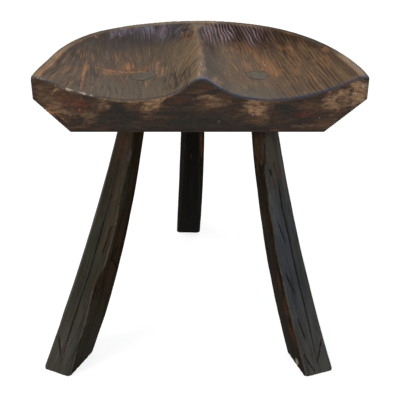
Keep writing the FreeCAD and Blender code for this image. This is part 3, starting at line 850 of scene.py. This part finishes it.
# Each leg: inks of its faces (front, right, left, back), the side on which its joint has opened, and
# in picture pixels the edge between its front and inner faces (places across, then down), its dark
# checks, chips (path, width), lines (ink, strength, half width, path) and patches
# In these lines and patches the arris ink is a painted highlight along the leg's edges
legParts = {
    "leg_front_left": {
        "seed": 200, "turn": -25.5, "twist": -17.5, "sheen": 0.6, "footGlow": 0.6, "mottle": 0.4,
        "faces": ("wood", "inner", "wood", "wood"), "upper": "brown",
        "open": (0.0, -1.0), "inner": 1,
        "edge": ((133, 129, 124, 120, 115.8, 110, 104.2, 97.3, 95, 91.7, 85, 76.5, 70),
                 (135, 163, 185, 201, 223, 246.7, 266.7, 278, 283, 293.3, 323.3, 350, 377)),
        "checks": [
            [(111.7, 195), (105, 216.7), (98.5, 240), (90, 271), (80, 300), (70, 331.7), (60, 365)],
            [(112.5, 225), (107, 240), (101.7, 254)], [(111.5, 257), (117, 268)], [(118, 246), (110, 262)],
            [(58.5, 335), (60, 350), (60, 358)], [(97, 286), (92, 300)],
        ],
        "chips": [
            ([(98.3, 280), (93.5, 292), (89.5, 306)], 1.5), ([(81.7, 338), (77, 348), (71.7, 358)], 1.5),
        ],
        "lines": [
            ("arrisHighlight", 0.8, 0.9, [(120, 201), (115.8, 223), (110, 246.7), (104.2, 266.7), (97.3, 278)]),
            ("arrisHighlight", 0.85, 0.9, [(95, 283), (91.7, 293.3), (85, 323.3), (76.5, 350), (70, 377)]),
            ("arrisHighlight", 0.5, 0.7, [(85, 268), (87.5, 272)]), ("arrisHighlight", 0.4, 0.7, [(80, 277), (84.4, 285)]),
            ("arrisHighlight", 0.4, 1.0, [(66, 326), (71, 334)]),
            ("violet", 0.8, 1.8, [(131, 148), (130, 156), (128.4, 163)]),
            ("red", 0.15, 1.0, [(109, 231), (105, 243), (102, 252)]),
            ("red", 0.7, 0.7, [(107, 236), (107.2, 239)]),
        ],
        "patches": [
            ("rust", 0.8, 124, 142, 4, 10, 8), ("brown", 0.7, 122, 150, 6, 20, 10),
            ("brown", 0.6, 110, 226, 4.5, 24, 15), ("brown", 0.5, 90, 300, 4, 30, 16),
            ("rust", 0.12, 110, 278, 5, 20, 14), ("rust", 0.12, 120, 240, 3, 12, 14),
            ("arrisHighlight", 0.35, 68, 345, 8, 20, 18), ("sootAndShade", 0.5, 113, 180, 3, 24, 14),
            ("sootAndShade", 0.4, 102, 205, 4, 26, 16), ("olive", 0.8, 88, 335, 14, 46, 16),
            ("olive", 0.6, 126, 190, 5, 30, 10), ("sootAndShade", 0.35, 107, 190, 5, 30, 12),
        ],
    },
    "leg_front_right": {
        "seed": 300, "turn": 19.9, "twist": -4.4, "sheen": 0.6, "footGlow": 0.7, "mottle": 0.12,
        "faces": ("slate", "wood", "inner", "wood"), "upper": "crown",
        "open": (-0.8, -0.6), "inner": 2,
        "edge": ((265, 265, 268.6, 269.5, 273.7, 276.3, 281.5, 286, 290.5, 294, 298, 306),
                 (135, 172, 193.8, 209, 227, 251, 274, 294.5, 315, 330, 344, 376)),
        "checks": [
            [(273.7, 163), (278.8, 183.6), (282, 206.5), (284.5, 216.7), (289.6, 238.4), (292.8, 255),
             (296.7, 273), (301.1, 290.7), (306.2, 312.4), (310, 329), (314, 347), (318.3, 364.7)],
            [(269.9, 169), (271.8, 176)], [(277.5, 220), (281, 230), (285.2, 242)],
            [(285.8, 273), (290, 283), (294.7, 294.5)], [(297.3, 318.8), (302, 330), (306.2, 340.5)],
            [(304, 355), (309, 363), (315.2, 372)], [(321.5, 339), (320, 350), (317.7, 362)],
        ],
        "chips": [
            ([(265, 140), (264.4, 152), (265, 164)], 1.2),
        ],
        "lines": [
            ("arrisHighlight", 0.7, 0.9, [(264.5, 172), (268.6, 193.8), (269.5, 209), (273.7, 227), (276.3, 251)]),
            ("arrisHighlight", 0.7, 0.9,
             [(276.3, 251), (281.5, 274), (286, 294.5), (290.5, 315), (298, 344), (306, 376)]),
            ("red", 0.5, 0.8, [(276, 166), (276.8, 175)]), ("red", 0.3, 0.8, [(271.1, 177), (272.4, 187)]),
            ("red", 0.25, 0.9, [(308.1, 298), (307.5, 306)]),
            ("arrisHighlight", 0.7, 0.6, [(311, 326), (317, 334), (324, 344)]),
            ("rust", 0.6, 0.8, [(256, 153), (257, 158)]), ("arrisHighlight", 0.5, 0.6, [(260, 159), (262.5, 164)]),
        ],
        "patches": [
            ("brown", 0.9, 259, 150, 6, 24), ("crown", 0.8, 268, 150, 6, 18, -5),
            ("crown", 0.5, 273, 160, 8, 26, -10), ("brown", 0.35, 262.5, 222, 3.4, 24, -8),
            ("rust", 0.5, 258, 150, 3, 14), ("rust", 0.45, 278.6, 280, 1.8, 12, -12),
            ("rust", 0.5, 286.5, 308, 2.4, 16, -14), ("rust", 0.4, 291.6, 333, 2.4, 10, -16),
            ("wood", 0.6, 296, 255, 3, 40, -12), ("wood", 0.5, 300, 335, 8, 14, -14),
            ("chip", 0.85, 296.8, 361.4, 1.3, 3.4, -20),
        ],
    },
    "leg_rear": {
        # the rear leg stands in the seat's shadow: its near-black face inks are painted shade
        "seed": 400, "turn": -1.7, "twist": 1.3, "sheen": 0.15, "footGlow": 0.0, "mottle": 0.3,
        "faces": ("shadeUnderSeat", "sootAndShade", "sootAndShade", "wood"), "upper": "shadeUnderSeat",
        "open": (0.0, -1.0), "inner": 1,
        "edge": ((201, 200, 198),
                 (135, 180, 230)),
        "checks": [
            [(190, 140), (189, 180), (187, 226)],
        ],
        "chips": [],
        "lines": [
            ("rust", 0.7, 1.4, [(201, 134), (201.5, 146), (201.5, 158)]),
            ("red", 0.35, 0.8, [(190.8, 154), (190.8, 158)]),
        ],
        "patches": [],
    },
}


def readLeg(piece, plan):
    # the leg's own place: across each of its four faces, and along it
    at = readPiece(piece)
    points = at.points
    steps = np.linspace(0, at.z.max(), 40)
    middles = []
    for axis in range(2):
        line = []
        for height in steps:
            near = np.abs(at.z - height) < 8
            values = points[near, axis]
            line.append((values.min() + values.max()) / 2 if near.any() else line[-1])
        middles.append(np.interp(at.z, steps, line))
    gapX, gapY = ((points[:, :2] - np.stack(middles, 1)) / mm).T
    at.gap = (gapX, gapY)
    angle = np.radians(plan["turn"] + plan["twist"] * unit(at.z / seatBottom))
    localX, localY = turned(gapX, gapY, angle)
    normalX, normalY, normalZ = at.normals.T
    faceX, faceY = turned(normalX, normalY, angle)
    onSide = np.abs(faceX) > np.abs(faceY)
    at.lateral = np.where(onSide, localY, localX)
    at.sheet = np.where(onSide, np.where(faceX > 0, 1, 2), np.where(faceY > 0, 3, 0))
    shares = np.clip(np.stack([-faceY, faceX, -faceX, faceY]), 0.001, 1) ** 5
    at.faceShares = shares / shares.sum(0)
    at.facing = ease(-normalY, 0.08, 0.25)
    # where the camera sees it, the edge between the front and the inner face follows the picture
    inner = plan["inner"]
    across, down = at.pixels.T
    aside = (across - np.interp(down, plan["edge"][1], plan["edge"][0])) * (1 if inner == 1 else -1)
    both = at.faceShares[0] + at.faceShares[inner]
    at.faceShares[0] += at.facing * (both * (1 - ease(aside, -0.9, 0.9)) - at.faceShares[0])
    at.faceShares[inner] += at.facing * (both * ease(aside, -0.9, 0.9) - at.faceShares[inner])
    at.corner = ease(1 - np.maximum(np.abs(faceX), np.abs(faceY)), 0.06, 0.2) * (1 - np.abs(normalZ))
    at.shaft = 1 - ease(at.z - seatBottom, -1, 4)
    at.end = ease(at.z - legLook["tenonTop"], -6, 0) * ease(normalZ, 0.4, 0.75)
    at.sole = ease(-normalZ, 0.7, 0.9)
    return at


def legRelief(at, plan):
    look = legLook
    seed = plan["seed"]
    wander = 2.2 * noise(seed + 1, at.lateral / 14 + at.sheet * 9, at.z / 70)
    stripAcross = at.lateral + wander + at.sheet * 31
    cuts = toolCuts(stripAcross, at.z, look["stripWidth"], look["stripLength"], seed + 2)
    at.strips, at.luck = cuts[::2]
    at.hewn = roughNoise(seed + 3, at.lateral / 11 + at.sheet * 5, at.z / 28)
    at.fibre = roughNoise(seed + 4, at.lateral / 1.7 + at.sheet * 7, at.z / 34)
    checks = np.zeros(len(at.z))
    for path in plan["checks"]:
        checks = np.maximum(checks, nearPath(at.pixels, path, look["checkWidth"], seed, 0.2))
    # checks that the picture doesn't show, on the other faces
    lane = (at.lateral + wander) / look["checkGap"]
    place = at.z / look["checkLength"]
    cell = np.stack([np.floor(lane), at.sheet, np.floor(place)], 1)
    away = np.abs(lane - np.floor(lane) - 0.5) * look["checkGap"]
    taper = np.sin(np.pi * (place - np.floor(place))) ** 0.5
    hidden = unit(1 - away / 0.9) * (scatter(cell, seed + 6) > look["checkRarity"]) * taper
    at.checks = at.shaft * np.maximum(checks * at.facing, hidden * (1 - at.facing))
    at.chips = np.zeros(len(at.z))
    for path, width in plan["chips"]:
        at.chips = np.maximum(at.chips, nearPath(at.pixels, path, width, seed, 0.3))
    at.chips *= at.facing * at.shaft
    inward = look["stripDepth"] * (at.strips - 0.4) + look["hewnDepth"] * at.hewn
    inward += look["grainDepth"] * at.fibre
    inward += look["checkDepth"] * at.checks ** 0.8 + look["chipDepth"] * np.sqrt(at.chips)
    inward *= at.shaft * (1 - at.sole)
    # a through tenon's end fills its socket, except where the joint has opened
    aside, ahead = plan["open"]
    away = np.maximum(np.hypot(*at.gap), 1)
    opened = ease((at.gap[0] * aside + at.gap[1] * ahead) / away, 0.45, 0.85)
    collar = ease(at.z - look["tenonTop"], -10, -2) * (1 - ease(np.abs(at.normals[:, 2]), 0.5, 0.85))
    inward -= collar * look["tenonSwell"] * (1 - opened)
    rough = 0.15 * roughNoise(seed + 8, at.gap[0] / 3, at.gap[1] / 3)
    return inward + at.end * (rough - look["tenonRise"])


def legStainShadeAndHighlight(at, plan):
    seed = plan["seed"]
    isFront = at.faceShares[0]
    coat = Coat(legInks, "sootAndShade", len(at.z))
    coat.colour *= 0
    for share, name in zip(at.faceShares, plan["faces"]):
        coat.colour += share[:, None] * legInks[name]
    coat.lay(plan["upper"], ease(at.z / seatBottom, 0.55, 0.9) * isFront * 0.8)
    coat.lay("foot", (1 - ease(at.z, 30, 150)) * isFront * plan["footGlow"])
    mottle = unit(0.3 + 0.9 * roughNoise(seed + 11, at.lateral / 9 + at.sheet * 3, at.z / 60))
    bright = np.where(coat.colour.mean(1) > legInks["sootAndShade"].mean(), 1.0, 0.15)
    coat.lay("brown", mottle * plan["mottle"] * bright)
    coat.lay("sootAndShade", 0.3 * unit(0.5 + 0.8 * at.hewn))
    coat.lay("check", 0.3 * at.strips * (at.luck > 0.6))
    grain = 0.6 + 0.4 * unit(0.5 + at.fibre)
    coat.laySpots(at, plan["patches"], seed + 12, 0.6, (2.0, 9.0), at.facing * grain)
    # a painted highlight along the leg's corners, in patches
    glintPatches = unit(0.5 + noise(seed + 14, at.z / 16, at.lateral / 9))
    coat.lay("arrisHighlight", at.corner * 0.12 * at.shaft * glintPatches * bright)
    coat.layStreaks(at, plan["lines"], seed, 0.3, at.facing)
    coat.lay("check", unit(at.checks * 1.2 + at.chips * 0.5) * 0.9)
    end = Coat(legInks, "tenon", len(at.z))
    end.lay("sootAndShade", 0.15 + 0.4 * roughNoise(seed + 15, at.gap[0] / 5, at.gap[1] / 2.4))
    coat.cover(end, at.end)
    return coat.colour


def carveLeg(node):
    plan = legParts[node]
    piece = finePiece("hewn_" + node, node, legLook)
    at = readLeg(piece, plan)
    carve(piece, at, legRelief(at, plan))
    sheen = plan["sheen"] * (0.1 + 0.9 * at.faceShares[0])
    keepColour(piece, "stainAndPaintedLight", legStainShadeAndHighlight(at, plan), sheen + (1 - sheen) * at.end)
    across = at.lateral * (1 - at.end) + at.gap[0] * at.end
    along = at.z * (1 - at.end) + at.gap[1] * at.end
    keepVector(piece, "grain", np.stack([across, along, at.sheet * 23.0], 1))
    still = np.zeros(len(at.z))
    keepColour(piece, "marks", np.stack([still, at.corner * 0.5, 0.8 * at.shaft], 1))
    return piece


legFinish = {
    "shine": 0.1, "roughness": 0.55,
    "fibreScale": (0.7, 0.03, 1.0), "fibreContrast": (0.75, 1.25),
    "broadScale": (0.12, 0.012, 1.0), "broadContrast": (0.82, 1.18),
    "lineScale": (0.45, 0.012, 1.0), "lineDarkness": 0.35,
    "scratchScale": (0.4, 0.03, 1.0), "scratchInk": tuple(ink(86, 52, 24)),
    "speckScale": 700.0, "speckContrast": (0.88, 1.12),
    "bumpStrength": 0.7, "bumpDepth": 0.35 * mm,
}

seatPiece = carveSeat()
seatPiece.data.materials.append(woodFinish("gougedSeatWood", seatFinish))
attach(seatPiece, "root")
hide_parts("seat")
print("stage: seat carved")

legWood = woodFinish("hewnLegWood", legFinish)
for node in legParts:
    legPiece = carveLeg(node)
    legPiece.data.materials.append(legWood)
    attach(legPiece, "root")
    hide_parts(node)
print("stage: legs carved")

# The pale floor and the light
studio = {
    "floorSize": 30.0,
    "floorGlow": 0.8,
    "floorColour": (0.3, 0.3, 0.3, 1.0),
    "bounceColour": (0.75, 0.75, 0.75, 1.0),
    "worldColour": (0.96, 0.98, 1.0, 1.0),
    "worldStrength": 0.55,
}


def seenDirectly(tree):
    # 1 for rays from the camera, off a mirror or through glass, which see the pale background
    rays = addNode(tree, "LightPath", {})
    value = rays["Is Camera Ray"]
    for name in ("Is Glossy Ray", "Is Transmission Ray"):
        value = addNode(tree, "Math", {0: value, 1: rays[name]}, operation="MAXIMUM")[0]
    return value


def makeFloor():
    mesh = bpy.data.meshes.new("floor")
    half = studio["floorSize"] / 2
    corners = [(-half, -half, 0), (half, -half, 0), (half, half, 0), (-half, half, 0)]
    mesh.from_pydata(corners, [], [(0, 1, 2, 3)])
    floor = addObject("floor", mesh)
    material = bpy.data.materials.new("paleFloor")
    material.use_nodes = True
    tree = material.node_tree
    tree.nodes.clear()
    glow = addNode(tree, "Emission", {"Strength": studio["floorGlow"]})[0]
    paint = addNode(tree, "BsdfDiffuse", {"Color": studio["floorColour"]})[0]
    bounce = addNode(tree, "BsdfDiffuse", {"Color": studio["bounceColour"]})[0]
    seen = addNode(tree, "AddShader", {0: glow, 1: paint})[0]
    pick = addNode(tree, "MixShader", {0: seenDirectly(tree), 1: bounce, 2: seen})[0]
    addNode(tree, "OutputMaterial", {"Surface": pick})
    mesh.materials.append(material)


def makeWorld():
    world = bpy.data.worlds.new("studio")
    bpy.context.scene.world = world
    world.use_nodes = True
    tree = world.node_tree
    sky = tree.nodes["Background"]
    fillSockets(tree, sky, {"Color": studio["worldColour"], "Strength": studio["worldStrength"]})
    white = addNode(tree, "Background", {"Color": (1.0, 1.0, 1.0, 1.0)})[0]
    pick = addNode(tree, "MixShader", {0: seenDirectly(tree), 1: sky.outputs[0], 2: white})[0]
    fillSockets(tree, tree.nodes["World Output"], {"Surface": pick})


lamps = [
    {"name": "key", "place": (-1.1, -0.5, 2.3), "size": 1.3, "power": 27.0, "colour": (1.0, 0.98, 0.95)},
    {"name": "fill", "place": (0.9, -2.3, 1.3), "size": 1.6, "power": 14.0, "colour": (0.97, 0.98, 1.0)},
    {"name": "rim", "place": (0.6, 1.6, 1.9), "size": 1.4, "power": 14.0, "colour": (0.94, 0.96, 1.0)},
]


def makeLamp(plan):
    data = bpy.data.lights.new(plan["name"], "AREA")
    data.shape = "DISK"
    data.size = plan["size"]
    data.energy = plan["power"]
    data.color = plan["colour"]
    lamp = addObject(plan["name"], data)
    lamp.location = plan["place"]
    aim = (seatHigh + seatLow) / 2 - lamp.location
    lamp.rotation_euler = aim.to_track_quat("-Z", "Y").to_euler()


def makeCamera():
    data = bpy.data.cameras.new("pictureCamera")
    data.lens = shot["lens"]
    data.sensor_width = shot["sensor"]
    camera = addObject("pictureCamera", data)
    camera.location = eye
    camera.rotation_euler = (math.pi / 2 - shot["pitch"], 0, 0)
    bpy.context.scene.camera = camera


makeFloor()
makeWorld()
for plan in lamps:
    makeLamp(plan)
makeCamera()
bpy.context.scene.view_settings.view_transform = "Standard"
print("stage: studio ready")
